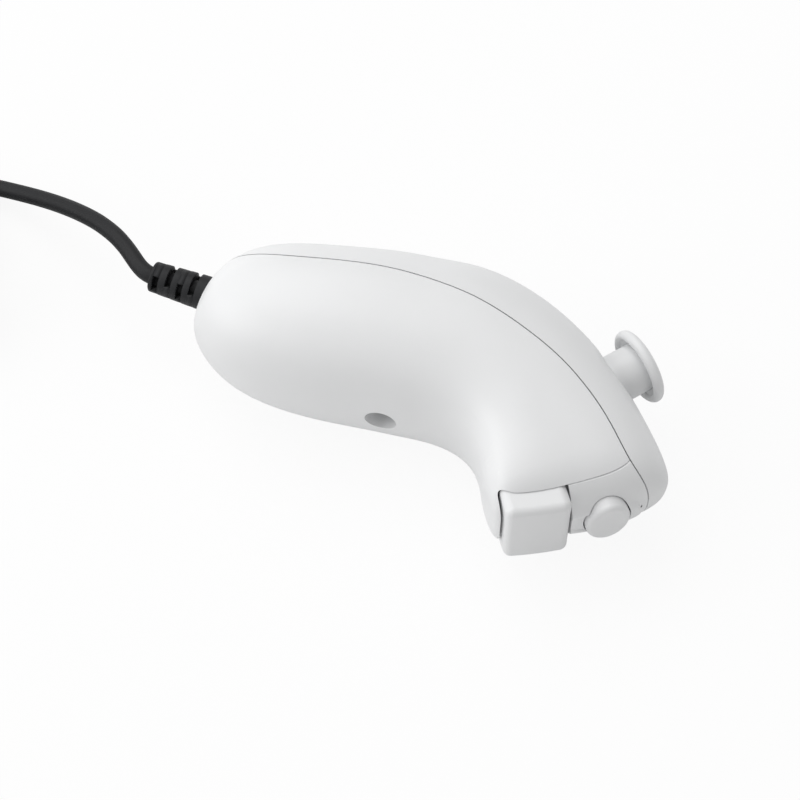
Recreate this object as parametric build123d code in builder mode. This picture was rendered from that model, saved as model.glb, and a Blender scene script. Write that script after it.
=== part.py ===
from build123d import *
import os
from math import asin, ceil, cos, pi, radians, sin, sqrt, tan

# Hand held two button controller with a thumb stick, lying on its left side, with its cord and plug.
# +X runs along the body to its stick end, +Y is the thumb's side, +Z is the right side. Millimetres.

# Overall sizes of the handle
body_length = 113.0
profile_height = 56.0
body_width = 38.2
wall = 2.0
seam_gap = 0.3
fit_gap = 0.3
running_gap = 0.05
overrun = 4.0

# Origin: middle of the resting outline, as shares of the length and the profile height
origin_x_share = -0.0055
origin_y_share = 0.111

# Side outline and sections: top x, top y, bottom x, bottom y, half width, roundness above and below.
# x is a share of the length, y of the profile height, the half width a share of half the body width.
section_shares = [
    (-0.4425, 0.1714, -0.4425, 0.0571, 0.157, 2.1, 2.1),
    (-0.4274, 0.2750, -0.4239, -0.0286, 0.497, 2.1, 2.1),
    (-0.3823, 0.3893, -0.3646, -0.1125, 0.764, 2.2, 2.2),
    (-0.3044, 0.4661, -0.2850, -0.1518, 0.916, 2.35, 2.35),
    (-0.2071, 0.5196, -0.1805, -0.1518, 0.987, 2.4, 2.4),
    (-0.0912, 0.5768, -0.0575, -0.1232, 0.996, 2.4, 2.4),
    (0.0265, 0.6143, 0.0442, -0.1000, 0.974, 2.4, 2.4),
    (0.1327, 0.6107, 0.1150, -0.1000, 0.942, 2.4, 2.5),
    (0.2442, 0.5429, 0.1664, -0.1357, 0.901, 2.4, 2.8),
    (0.3416, 0.4339, 0.1982, -0.2000, 0.859, 2.45, 3.2),
    (0.4261, 0.2958, 0.2183, -0.2686, 0.817, 2.5, 3.8),
    (0.4810, 0.1874, 0.2317, -0.3066, 0.785, 2.5, 4.5),
    (0.5201, 0.1014, 0.2440, -0.3375, 0.743, 2.5, 5.0),
    (0.5413, 0.0439, 0.2554, -0.3653, 0.675, 2.5, 5.0),
    (0.5497, -0.0085, 0.2696, -0.3854, 0.576, 2.4, 4.5),
    (0.5371, -0.0633, 0.2932, -0.3778, 0.471, 2.3, 3.6),
    (0.5142, -0.1182, 0.3461, -0.3303, 0.346, 2.2, 2.8),
    (0.4850, -0.1724, 0.3953, -0.2874, 0.209, 2.1, 2.2),
]
section_points = 16

# Parting line between the top cover and the lower shell, seen from the side
seam_shares = [
    (-0.4956, 0.2571),
    (-0.4425, 0.2714),
    (-0.3867, 0.2893),
    (-0.3319, 0.3018),
    (-0.2788, 0.3161),
    (-0.2212, 0.3393),
    (-0.1619, 0.3643),
    (-0.1018, 0.3839),
    (-0.0407, 0.3929),
    (0.0239, 0.3911),
    (0.0876, 0.3786),
    (0.1425, 0.3554),
    (0.1912, 0.3268),
    (0.2460, 0.2875),
    (0.3000, 0.2375),
    (0.3398, 0.1893),
    (0.3805, 0.1304),
    (0.4292, 0.0429),
    (0.4761, -0.0411),
    (0.5345, -0.0964),
    (0.5929, -0.1500),
]

# Front slot for the bezel and the trigger, measured along the face from the nose's middle
slot_width = 24.2
slot_corner = 2.2
slot_side_gap = 0.25
trigger_length = 14.2
trigger_place_share = -0.3199
trigger_chin_gap = 0.6
trigger_bezel_gap = 0.35
trigger_rise_left = -1.2
trigger_rise_right = 0.65
trigger_depth = 7.6
trigger_wall = 1.6
trigger_edge = 1.7
trigger_corner = 1.9
trigger_pin_diameter = 1.6
trigger_pin_inset = 7.0
trigger_pin_shift = 1.7
knuckle_radius = 1.7
knuckle_width = 2.4
bezel_wall = 1.4
bezel_walls_width = 20.4

# Round button
button_place_share = 0.069
button_hole_length = 10.6
button_hole_width = 16.0
button_rise = 1.75
button_edge = 1.1
button_flange = 1.0
button_flange_length = 8.8
button_flange_width = 16.6
button_flange_inset = 5.2
button_travel = 1.0

# Button board and its rubber pad
pad_inset = 9.6
pad_sheet = 1.0
board_thickness = 1.2
button_board_width = 19.0
button_board_start_share = -0.462
button_board_end_share = 0.26
dome_radius = 3.4
dome_height = 3.2
dome_top_radius = 2.2
ledge_depth = 1.6
ledge_width = 3.0

# Thumb stick
stick_place_share = 0.46
gimbal_depth = 9.5
stick_cap_diameter = 17.8
stick_cap_rim = 2.5
stick_cap_lip = 1.0
stick_cap_hollow = 1.1
stick_cap_crown = 0.9
stick_cap_height = 18.5
stick_cap_edge = 0.7
stem_diameter = 11.4
gate_width = 18.0
skirt_radius = 10.5
skirt_thickness = 1.1
skirt_rim_radius = 9.9
stick_range = 12.0
shaft_diameter = 3.0
shaft_foot = 2.4
shaft_top = 14.0
stick_pin_diameter = 1.0

# Stick module
module_width = 12.4
module_wall = 0.8
module_rim = 1.5
module_foot = 7.2
axle_diameter = 2.1
axle_reach = 1.4
yoke_length = 7.0
yoke_width = 5.2
yoke_height = 3.6
yoke_slot = 4.2
arch_inner = 3.7
arch_outer = 5.1
arch_width = 5.0
arch_slot = 3.3
sensor_thickness = 2.0
sensor_width = 6.0
sensor_height = 6.6
sensor_top = 1.5
stick_board_length = 26.0
stick_board_width = 17.0
stick_post_diameter = 4.0
stick_post_place = 11.0
stick_post_side = 6.3
cover_screw_head = 3.2
cover_screw_shank = 1.6
cover_screw_length = 6.0
cover_screw_cap = 1.2

# Main board, its chips and posts
main_board_length = 48.0
main_board_width = 23.0
main_board_thickness = 1.6
main_board_place_share = -0.084
main_post_diameter = 5.0
main_post_place = 19.0
main_post_side = 7.5
control_chip_size = 10.0
control_chip_height = 1.6
control_chip_shift = 9.0
motion_chip_size = 5.0
motion_chip_height = 1.5
motion_chip_shift = 14.0
socket_length = 7.0
socket_width = 9.0
socket_height = 5.0
socket_wall = 0.8
inner_plug_length = 8.0
inner_lead_diameter = 3.0

# Case screw in its round recess in the belly
screw_place_share = 0.365
recess_diameter = 7.2
recess_depth = 7.0
recess_floor = 1.6
boss_wall = 1.4
case_screw_head = 5.4
case_screw_cap = 2.0
case_screw_shank = 2.8
case_screw_length = 14.0
case_screw_drive = 3.0
case_screw_drive_width = 0.8
cover_post_diameter = 6.0

# Strain relief boot of the cord
boot_place_share = 1.09
boot_diameter = 8.2
boot_end_diameter = 7.0
boot_length = 13.4
boot_edge = 0.9
boot_hole_gap = 0.1
boot_collar_diameter = 10.6
boot_collar_thickness = 1.6
boot_neck = 4.6
window_width = 1.4
window_core = 5.2
window_bridge = 0.6
window_place_shares = (0.127, 0.354, 0.567, 0.784)

# Cord
cord_diameter = 4.0
coil_pitch = 4.6
coil_outer_radius = 29.3
coil_half_quarters = 14
coil_climb_quarters = 2
coil_straight = 4.0
coil_lift = 0.05
# Free route from the boot's end to the coil, chosen by hand: x and y from the end, then the share of the
# way down to the surface that the cord lies on
lead_points = [
    (0.0, 0.0, 0.0),
    (-2.5, 0.0, 0.0),
    (-4.96, 0.45, 0.0),
    (-7.3, 1.33, 0.008),
    (-11.14, 3.59, 0.045),
    (-18.46, 8.35, 0.172),
    (-30.88, 14.14, 0.53),
    (-46.4, 16.88, 0.88),
    (-60.0, 16.3, 1.0),
    (-70.5, 14.45, 1.0),
]
# Free route from the coil's end to the plug lying on the coil, chosen by hand: forward, to the left, then
# the share of the way up to the height of the plug's middle
tail_points = [
    (0.0, 0.0, 0.0),
    (8.0, 0.0, 0.0),
    (15.9, 1.4, 0.1),
    (23.1, 4.8, 0.28),
    (28.3, 10.9, 0.49),
    (29.7, 18.8, 0.68),
    (26.9, 26.3, 0.84),
    (20.8, 31.4, 0.95),
    (13.1, 33.5, 1.0),
    (5.1, 33.5, 1.0),
]

# Plug at the cord's far end
plug_length = 22.0
plug_width = 22.0
plug_height = 13.2
plug_wall = 1.6
plug_edge = 2.6
plug_boot_length = 10.0
plug_boot_diameter = 9.0
plug_boot_end = 6.4
plug_boot_groove = 1.2
plug_boot_groove_depth = 1.0
plug_boot_grooves = 3
plug_boot_edge = 0.6
plug_face_wall = 4.0
insert_length = 18.0
insert_reach = 8.0
insert_gap = 0.05
insert_width = 12.0
insert_height = 7.4
insert_slot_width = 9.0
insert_slot_height = 2.6
insert_slot_depth = 7.0
insert_edge = 0.8
contact_width = 1.2
contact_thickness = 0.3
contact_pitch = 2.8
contact_length = 6.0
contact_count = 3
latch_pad_length = 8.0
latch_pad_height = 5.0
latch_pad_rise = 1.2
latch_pad_inset = 8.0
latch_arm = 1.2
latch_arm_height = 4.0
latch_plate_height = 6.4
latch_reach = 4.5
latch_hook = 1.0
latch_hook_length = 1.6
latch_travel = 1.0

# Derived frame of the body
mid = body_width / 2


def spot(share_x, share_y):
    """A point of the side view from its shares of the length and the profile height."""
    return Vector(
        (share_x - origin_x_share) * body_length,
        (share_y - origin_y_share) * profile_height,
        mid,
    )


def toward(start, end, share):
    """The point at a share of the way from one point to another."""
    return start + (end - start) * share


tops = [spot(row[0], row[1]) for row in section_shares]
bottoms = [spot(row[2], row[3]) for row in section_shares]
halves = [row[4] * mid for row in section_shares]
powers = [(row[5], row[6]) for row in section_shares]


def stations(inset):
    """Section planes with half height, half width and roundness, moved in from the skin by the inset."""
    last = len(tops) - 1
    centres = [toward(top, bottom, 0.5) for top, bottom in zip(tops, bottoms)]
    found = []
    for i in range(last + 1):
        low, high = max(i - 1, 0), min(i + 1, last)
        forward = (centres[high] - centres[low]).normalized()
        if i in (0, last):
            into = forward if i == 0 else forward * -1
            top_in, bottom_in, half_in = into, into, 0
        else:
            top_way = (tops[high] - tops[low]).normalized()
            bottom_way = (bottoms[high] - bottoms[low]).normalized()
            top_in = Vector(top_way.Y, -top_way.X, 0)
            bottom_in = Vector(-bottom_way.Y, bottom_way.X, 0)
            run = (centres[high] - centres[low]).length
            half_in = run / sqrt(run**2 + (halves[high] - halves[low]) ** 2)
        top = tops[i] + top_in * inset
        bottom = bottoms[i] + bottom_in * inset
        across = (top - bottom).normalized()
        plane = Plane(
            origin=toward(top, bottom, 0.5),
            x_dir=across,
            z_dir=Vector(across.Y, -across.X, 0),
        )
        found.append((plane, (top - bottom).length / 2, halves[i] - half_in * inset, powers[i]))
    return found


def rounded(turn, height, width, power):
    """A point of a rounded section, its roundness differing above and below."""
    above, across = cos(turn), sin(turn)
    least = 2 / (power[0] if above >= 0 else power[1])
    return (
        height * (1 if above >= 0 else -1) * abs(above) ** least,
        width * (1 if across >= 0 else -1) * abs(across) ** least,
    )


def skin(inset):
    """The body's closed form, moved in from the outside by the inset."""
    with BuildPart() as form:
        for plane, height, width, power in stations(inset):
            turns = [2 * pi * k / section_points for k in range(section_points)]
            with BuildSketch(plane):
                with BuildLine():
                    Spline(*[rounded(t, height, width, power) for t in turns], periodic=True)
                make_face()
        loft()
    return form.part


seam_points = [spot(x, y) for x, y in seam_shares]


def over_seam(shift):
    """Everything on the thumb's side of the parting line, moved toward the thumb by the shift."""
    line = []
    for i, point in enumerate(seam_points):
        way = seam_points[min(i + 1, len(seam_points) - 1)] - seam_points[max(i - 1, 0)]
        way = way.normalized()
        line.append((point.X - way.Y * shift, point.Y + way.X * shift))
    high = line[0][1] + profile_height
    with BuildPart() as region:
        with BuildSketch():
            with BuildLine():
                Spline(*line)
                Polyline(
                    line[-1],
                    (line[-1][0] + body_width, line[-1][1]),
                    (line[-1][0] + body_width, high),
                    (line[0][0], high),
                    line[0],
                )
            make_face()
        extrude(amount=body_width + overrun)
    return region.part.moved(Location((0, 0, -overrun / 2)))


outer_form = skin(0)
middle_form = skin(wall / 2)
inner_form = skin(wall)
cover_region = over_seam(seam_gap / 2)
shell_region = over_seam(-seam_gap / 2)

# Front face: its line runs from the chin to the lip, x along the face, y to the right side, z outward
chin = bottoms[13]
lip = tops[13]
face_length = (lip - chin).length
face_way = (lip - chin).normalized()
nose = toward(tops[-1], bottoms[-1], 0.5)
face = Plane(origin=nose, x_dir=face_way, z_dir=Vector(face_way.Y, -face_way.X, 0))
trigger_middle = trigger_place_share * face_length
trigger_left = trigger_middle - trigger_length / 2
trigger_right = trigger_middle + trigger_length / 2
slot_start = trigger_left - trigger_chin_gap
bezel_start = trigger_right + trigger_bezel_gap
button_middle = button_place_share * face_length
pin_x = trigger_right + trigger_pin_shift
pin_z = -trigger_pin_inset
board_top = -pad_inset - pad_sheet

# Stick frame: z along the stick, x forward along the cover, origin at the gimbal's middle
stick_way = (tops[10] - tops[9]).normalized()
stick_axis = Vector(-stick_way.Y, stick_way.X, 0)
stick_foot = toward(tops[9], tops[10], stick_place_share)
gimbal = stick_foot - stick_axis * gimbal_depth
stick = Plane(origin=gimbal, x_dir=stick_way, z_dir=stick_axis)

# Case screw frame: z runs into the body along the screw, origin in the belly's skin
belly_way = (bottoms[6] - bottoms[5]).normalized()
belly_in = Vector(-belly_way.Y, belly_way.X, 0)
belly = Plane(
    origin=toward(bottoms[5], bottoms[6], screw_place_share),
    x_dir=belly_way,
    z_dir=belly_in,
)

# Cord frame: z runs backward out of the boot, y to the thumb, origin at the rear end
rear = toward(bottoms[0], tops[0], boot_place_share)
cord_out = Plane(origin=rear, x_dir=(0, 0, 1), z_dir=(-1, 0, 0))

# Main board frame: x along the body, y to the left side, z to the thumb
board_level = rear.Y - socket_height / 2
board_centre = Vector(spot(main_board_place_share, 0).X, board_level, mid)
board = Plane(origin=board_centre, x_dir=(1, 0, 0), z_dir=(0, 1, 0))

# Pins and bores along z at a place in the side view of the front face
face_side = Plane(origin=nose, x_dir=face_way, z_dir=(0, 0, -1))
stick_side = Plane(origin=gimbal, x_dir=stick_way, z_dir=(0, 0, -1))


def radial(base):
    """The plane through a frame's z axis, with its x across and its y along that axis."""
    return Plane(origin=base.origin, x_dir=base.x_dir, z_dir=base.x_dir.cross(base.z_dir))


def screw(base, places, head, cap, shank, length):
    """Screws with their heads' undersides on the plane, pointing down its z, with a slot in each head."""
    with BuildPart() as made:
        with BuildSketch(base):
            with Locations(*places):
                Circle(head / 2)
        extrude(amount=cap)
        with BuildSketch(base):
            with Locations(*places):
                Circle(shank / 2)
        extrude(amount=-length)
        with BuildSketch(base.offset(cap / 2)):
            with Locations(*places):
                Rectangle(head * 0.66, cap / 3)
                Rectangle(cap / 3, head * 0.66)
        extrude(amount=cap, mode=Mode.SUBTRACT)
    return made.part


# Lower shell
boss_radius = recess_diameter / 2 + boss_wall
main_post_spots = [
    (main_post_place * a, main_post_side * b) for a, b in ((-1, -1), (-1, 1), (1, -1), (1, 1))
]
stick_post_spots = [
    (stick_post_place * a, stick_post_side * b) for a, b in ((-1, -1), (-1, 1), (1, -1), (1, 1))
]
ledge_side = (button_board_width - ledge_width) / 2
with BuildPart() as shell_bosses:
    with BuildSketch(belly):
        Circle(boss_radius)
    extrude(amount=recess_depth + recess_floor)
    with BuildSketch(board.offset(-main_board_thickness)):
        with Locations(*main_post_spots):
            Circle(main_post_diameter / 2)
    extrude(amount=-profile_height / 2)
    with BuildSketch(face.offset(board_top - board_thickness)):
        for place in (trigger_middle, button_middle):
            for side in (-1, 1):
                with Locations((place, side * (ledge_side + body_width / 2))):
                    Rectangle(trigger_length / 2, body_width)
    extrude(amount=-ledge_depth)
with BuildPart() as lower_shell:
    add(outer_form)
    add(inner_form, mode=Mode.SUBTRACT)
    add(shell_bosses.part.intersect(middle_form))
    add(shell_region, mode=Mode.SUBTRACT)
    with BuildSketch(face.offset(-pad_inset)):
        with Locations((slot_start + face_length / 2, 0)):
            RectangleRounded(face_length, slot_width, slot_corner)
    extrude(amount=2 * pad_inset, mode=Mode.SUBTRACT)
    with BuildSketch(belly.offset(-overrun)):
        Circle(recess_diameter / 2)
    extrude(amount=recess_depth + overrun, mode=Mode.SUBTRACT)
    with BuildSketch(belly.offset(recess_depth)):
        Circle(case_screw_shank / 2 + fit_gap)
    extrude(amount=recess_floor + overrun, mode=Mode.SUBTRACT)
    with BuildSketch(cord_out.offset(-boot_neck)):
        Circle(boot_diameter / 2 + boot_hole_gap)
    extrude(amount=boot_neck + overrun, mode=Mode.SUBTRACT)
    with BuildSketch(board.offset(-main_board_thickness)):
        with Locations(*main_post_spots):
            Circle(cover_screw_shank / 2 + running_gap)
    extrude(amount=-cover_screw_length, mode=Mode.SUBTRACT)

# Top cover
skirt_clear = skirt_radius + fit_gap
with BuildPart() as cover_posts:
    with BuildSketch(stick.offset(-module_foot)):
        with Locations(*stick_post_spots):
            Circle(stick_post_diameter / 2)
    extrude(amount=module_foot + gimbal_depth)
    with BuildSketch(belly.offset(recess_depth + recess_floor + fit_gap)):
        Circle(cover_post_diameter / 2)
    extrude(amount=profile_height)
with BuildPart() as top_cover:
    add(outer_form)
    add(inner_form, mode=Mode.SUBTRACT)
    add(cover_region, mode=Mode.INTERSECT)
    add(cover_posts.part.intersect(middle_form))
    with BuildSketch(stick):
        RegularPolygon(radius=gate_width / 2, side_count=8, major_radius=False)
    extrude(amount=gimbal_depth + overrun, mode=Mode.SUBTRACT)
    with Locations(stick):
        Sphere(radius=skirt_clear, mode=Mode.SUBTRACT)
    with BuildSketch(stick.offset(-module_foot)):
        with Locations(*stick_post_spots):
            Circle(cover_screw_shank / 2 + running_gap)
    extrude(amount=cover_screw_length, mode=Mode.SUBTRACT)
    with BuildSketch(belly.offset(recess_depth)):
        Circle(case_screw_shank / 2 + running_gap)
    extrude(amount=case_screw_length + fit_gap, mode=Mode.SUBTRACT)

# Front bezel with its two inner walls, which carry the trigger's pin and press on the pad
bezel_half = slot_width / 2 - slot_side_gap
walls_half = bezel_walls_width / 2
bezel_walls_end = button_middle + button_hole_length / 2 + 2 * bezel_wall
with BuildPart() as bezel_walls:
    with BuildSketch(face.offset(-pad_inset)):
        for side in (-1, 1):
            with Locations(
                (
                    (bezel_start + bezel_walls_end) / 2,
                    side * (walls_half - bezel_wall / 2),
                )
            ):
                Rectangle(bezel_walls_end - bezel_start, bezel_wall)
    extrude(amount=pad_inset + overrun)
with BuildPart() as front_bezel:
    with BuildSketch(face.offset(-pad_inset + fit_gap)):
        with Locations((bezel_start + face_length / 2, 0)):
            Rectangle(face_length, 2 * bezel_half)
    extrude(amount=pad_inset + trigger_depth)
    add(outer_form, mode=Mode.INTERSECT)
    add(inner_form, mode=Mode.SUBTRACT)
    add(bezel_walls.part.intersect(middle_form))
    add(shell_region, mode=Mode.SUBTRACT)
    with BuildSketch(face.offset(-trigger_depth)):
        with Locations((button_middle, 0)):
            Ellipse(button_hole_length / 2, button_hole_width / 2)
    extrude(amount=trigger_depth * 2, mode=Mode.SUBTRACT)
    with BuildSketch(face_side):
        with Locations((pin_x, pin_z)):
            Circle(trigger_pin_diameter / 2 + running_gap)
    extrude(amount=body_width / 2, both=True, mode=Mode.SUBTRACT)

# Button
with BuildPart() as c_button:
    with BuildSketch(face.offset(-button_flange_inset)):
        with Locations((button_middle, 0)):
            Ellipse(button_hole_length / 2 - fit_gap, button_hole_width / 2 - fit_gap)
    extrude(amount=button_flange_inset + button_rise)
    rim = c_button.faces().sort_by(Axis(nose, face.z_dir))[-1]
    fillet(rim.edges(), button_edge)
    with BuildSketch(face.offset(-button_flange_inset)):
        with Locations((button_middle, 0)):
            Rectangle(button_flange_length, button_flange_width)
    extrude(amount=-button_flange)

# Trigger
trigger_half = bezel_half
trigger_press = dome_height - pad_inset + fit_gap / 2
with BuildPart() as z_trigger:
    with BuildSketch(face_side):
        with BuildLine():
            Polyline(
                (trigger_left, trigger_rise_left),
                (trigger_left, -trigger_depth),
                (trigger_right, -trigger_depth),
                (trigger_right, trigger_rise_right),
            )
            ThreePointArc(
                (trigger_right, trigger_rise_right),
                (trigger_middle, (trigger_rise_left + trigger_rise_right) / 2 + fit_gap),
                (trigger_left, trigger_rise_left),
            )
        make_face()
    extrude(amount=trigger_half, both=True)
    fillet(z_trigger.edges().filter_by(Axis(nose, face.z_dir)), trigger_corner)
    trigger_top = z_trigger.faces().sort_by(Axis(nose, face.z_dir))[-1]
    fillet(trigger_top.edges(), trigger_edge)
    with BuildSketch(face.offset(-trigger_depth)):
        with Locations((trigger_middle, 0)):
            Rectangle(trigger_length - 2 * trigger_wall, 2 * (trigger_half - trigger_wall))
    extrude(
        amount=trigger_depth + trigger_rise_left - trigger_wall,
        mode=Mode.SUBTRACT,
    )
    with BuildSketch(face.offset(trigger_press)):
        with Locations((trigger_middle, 0)):
            Rectangle(trigger_wall, 2 * dome_top_radius)
    extrude(amount=trigger_rise_left - trigger_wall / 2 - trigger_press)
    for side in (-1, 1):
        arm_plane = face_side.offset(side * (walls_half - bezel_wall - fit_gap))
        with BuildSketch(arm_plane):
            with Locations((pin_x, pin_z)):
                Circle(knuckle_radius)
            with Locations(((pin_x + trigger_right - trigger_wall) / 2, pin_z)):
                Rectangle(pin_x - trigger_right + trigger_wall, 2 * (knuckle_radius - fit_gap))
        extrude(amount=-side * knuckle_width)
    with BuildSketch(face_side):
        with Locations((pin_x, pin_z)):
            Circle(trigger_pin_diameter / 2 + running_gap)
    extrude(amount=body_width / 2, both=True, mode=Mode.SUBTRACT)

with BuildPart() as trigger_pin:
    with BuildSketch(face_side):
        with Locations((pin_x, pin_z)):
            Circle(trigger_pin_diameter / 2)
    extrude(amount=walls_half, both=True)

# Rubber pads with their domes, and the button board under them
board_start = button_board_start_share * face_length
board_end = button_board_end_share * face_length
pad_split = (trigger_middle + button_middle) / 2


def dome_pad(start, end, centre):
    """A rubber sheet on the button board with one dome."""
    with BuildPart() as pad:
        with BuildSketch(face.offset(-pad_inset - pad_sheet)):
            with Locations(((start + end) / 2, 0)):
                Rectangle(end - start, button_board_width)
        extrude(amount=pad_sheet)
        with BuildSketch(face.offset(-pad_inset)):
            with Locations((centre, 0)):
                Circle(dome_radius)
        with BuildSketch(face.offset(-pad_inset + dome_height)):
            with Locations((centre, 0)):
                Circle(dome_top_radius)
        loft()
    return pad.part


with BuildPart() as trigger_pad:
    add(dome_pad(board_start, pad_split, trigger_middle))
with BuildPart() as button_pad:
    add(dome_pad(pad_split, board_end, button_middle))
with BuildPart() as button_board:
    with BuildSketch(face.offset(board_top)):
        with Locations(((board_start + board_end) / 2, 0)):
            Rectangle(board_end - board_start, button_board_width)
    extrude(amount=-board_thickness)

# Thumb stick: cap, stem and skirt in one moulding on a steel shaft
stem_radius = stem_diameter / 2
cap_radius = stick_cap_diameter / 2
cap_top = stick_cap_height - stick_cap_crown
cap_under = cap_top - stick_cap_rim
skirt_rim = sqrt(skirt_radius**2 - skirt_rim_radius**2)
skirt_inner = skirt_radius - skirt_thickness
rim_inner = sqrt(skirt_inner**2 - skirt_rim**2)
stem_turn = asin(stem_radius / skirt_radius)
skirt_turn = (asin(skirt_rim_radius / skirt_radius) + stem_turn) / 2
inner_turn = asin(rim_inner / skirt_inner) / 2
with BuildPart() as stick_cap:
    with BuildSketch(radial(stick)):
        with BuildLine():
            Line((0, skirt_inner), (0, stick_cap_height))
            ThreePointArc(
                (0, stick_cap_height),
                (cap_radius / 2, stick_cap_height - stick_cap_crown * 0.25),
                (cap_radius - stick_cap_edge, cap_top),
            )
            ThreePointArc(
                (cap_radius - stick_cap_edge, cap_top),
                (cap_radius, (cap_under + cap_top) / 2),
                (cap_radius - stick_cap_lip, cap_under),
            )
            ThreePointArc(
                (cap_radius - stick_cap_lip, cap_under),
                (cap_radius - stick_cap_lip * 1.7, cap_under + stick_cap_hollow / 4),
                (cap_radius - stick_cap_lip * 2, cap_under + stick_cap_hollow * 0.7),
            )
            Polyline(
                (cap_radius - stick_cap_lip * 2, cap_under + stick_cap_hollow * 0.7),
                (stem_radius, cap_under + stick_cap_hollow),
                (stem_radius, skirt_radius * cos(stem_turn)),
            )
            ThreePointArc(
                (stem_radius, skirt_radius * cos(stem_turn)),
                (skirt_radius * sin(skirt_turn), skirt_radius * cos(skirt_turn)),
                (skirt_rim_radius, skirt_rim),
            )
            Line((skirt_rim_radius, skirt_rim), (rim_inner, skirt_rim))
            ThreePointArc(
                (rim_inner, skirt_rim),
                (skirt_inner * sin(inner_turn), skirt_inner * cos(inner_turn)),
                (0, skirt_inner),
            )
        make_face()
    revolve(axis=Axis(gimbal, stick_axis))
    with BuildSketch(stick):
        Circle(shaft_diameter / 2)
    extrude(amount=shaft_top, mode=Mode.SUBTRACT)

with BuildPart() as stick_shaft:
    with BuildSketch(stick.offset(-shaft_foot)):
        Circle(shaft_diameter / 2)
    extrude(amount=shaft_foot + shaft_top)
    with BuildSketch(Plane(origin=gimbal, x_dir=(0, 0, 1), z_dir=stick_way)):
        Circle(stick_pin_diameter / 2)
    extrude(amount=shaft_diameter, both=True, mode=Mode.SUBTRACT)

with BuildPart() as stick_pin:
    with BuildSketch(Plane(origin=gimbal, x_dir=(0, 0, 1), z_dir=stick_way)):
        Circle(stick_pin_diameter / 2)
    extrude(amount=yoke_width / 2, both=True)

# Lower rocker: the yoke turns about z
axle_end = module_width / 2 + axle_reach
slot_clear = (arch_slot - shaft_diameter) / 2
with BuildPart() as stick_yoke:
    with BuildSketch(stick_side):
        Circle(axle_diameter / 2)
    extrude(amount=axle_end, both=True)
    with BuildSketch(stick.offset(-yoke_height / 2)):
        Rectangle(yoke_width, yoke_length)
    extrude(amount=yoke_height)
    with BuildSketch(stick.offset(-yoke_height)):
        Rectangle(shaft_diameter + slot_clear, yoke_slot)
    extrude(amount=2 * yoke_height, mode=Mode.SUBTRACT)
    with BuildSketch(Plane(origin=gimbal, x_dir=(0, 0, 1), z_dir=stick_way)):
        Circle(stick_pin_diameter / 2 + running_gap)
    extrude(amount=yoke_width, both=True, mode=Mode.SUBTRACT)

# Upper rocker: the arch turns about the stick frame's x
with BuildPart() as stick_arch:
    with BuildSketch(stick_side):
        Circle(arch_outer)
        Circle(arch_inner, mode=Mode.SUBTRACT)
        with Locations((0, -arch_outer)):
            Rectangle(2 * arch_outer, 2 * arch_outer, mode=Mode.SUBTRACT)
    extrude(amount=arch_width / 2, both=True)
    with BuildSketch(Plane(origin=gimbal, x_dir=(0, 0, 1), z_dir=stick_way)):
        Circle(axle_diameter / 2)
    extrude(amount=axle_end, both=True)
    with BuildSketch(stick_side):
        Circle(arch_inner)
    extrude(amount=axle_end, both=True, mode=Mode.SUBTRACT)
    with BuildSketch(stick.offset(axle_diameter)):
        Rectangle(2 * (arch_inner + arch_outer) / 3 * 2, arch_slot)
    extrude(amount=arch_outer, mode=Mode.SUBTRACT)

# Module housing, open above, with the axles' bores
with BuildPart() as stick_housing:
    with BuildSketch(stick.offset(-module_foot)):
        Rectangle(module_width, module_width)
    extrude(amount=module_foot + module_rim)
    with BuildSketch(stick.offset(-module_foot + module_wall)):
        Rectangle(module_width - 2 * module_wall, module_width - 2 * module_wall)
    extrude(amount=module_foot + module_rim, mode=Mode.SUBTRACT)
    with BuildSketch(stick_side):
        Circle(axle_diameter / 2 + running_gap)
    extrude(amount=body_width / 2, both=True, mode=Mode.SUBTRACT)
    with BuildSketch(Plane(origin=gimbal, x_dir=(0, 0, 1), z_dir=stick_way)):
        Circle(axle_diameter / 2 + running_gap)
    extrude(amount=body_width / 2, both=True, mode=Mode.SUBTRACT)


def sensor(base):
    """A sensor against the module's wall, with the bore for the axle's end."""
    with BuildPart() as made:
        with BuildSketch(base.offset(module_width / 2)):
            with Locations((0, sensor_top - sensor_height / 2 + axle_diameter / 2)):
                Rectangle(sensor_width, sensor_height)
        extrude(amount=sensor_thickness)
        with BuildSketch(base.offset(module_width / 2)):
            Circle(axle_diameter / 2 + running_gap)
        extrude(amount=axle_reach + fit_gap, mode=Mode.SUBTRACT)
    return made.part


with BuildPart() as side_sensor:
    add(sensor(Plane(origin=gimbal, x_dir=stick_way, z_dir=(0, 0, 1))))
with BuildPart() as front_sensor:
    add(sensor(Plane(origin=gimbal, x_dir=(0, 0, -1), z_dir=stick_way)))
with BuildPart() as stick_board:
    with BuildSketch(stick.offset(-module_foot)):
        Rectangle(stick_board_length, stick_board_width)
    extrude(amount=-board_thickness)
    with BuildSketch(stick):
        with Locations(*stick_post_spots):
            Circle(cover_screw_shank / 2 + running_gap)
    extrude(amount=-2 * module_foot, mode=Mode.SUBTRACT)
under_stick = Plane(
    origin=gimbal - stick_axis * (module_foot + board_thickness),
    x_dir=stick_way,
    z_dir=stick_axis * -1,
)
with BuildPart() as stick_screws:
    add(
        screw(
            under_stick,
            stick_post_spots,
            cover_screw_head,
            cover_screw_cap,
            cover_screw_shank,
            cover_screw_length,
        )
    )

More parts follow.
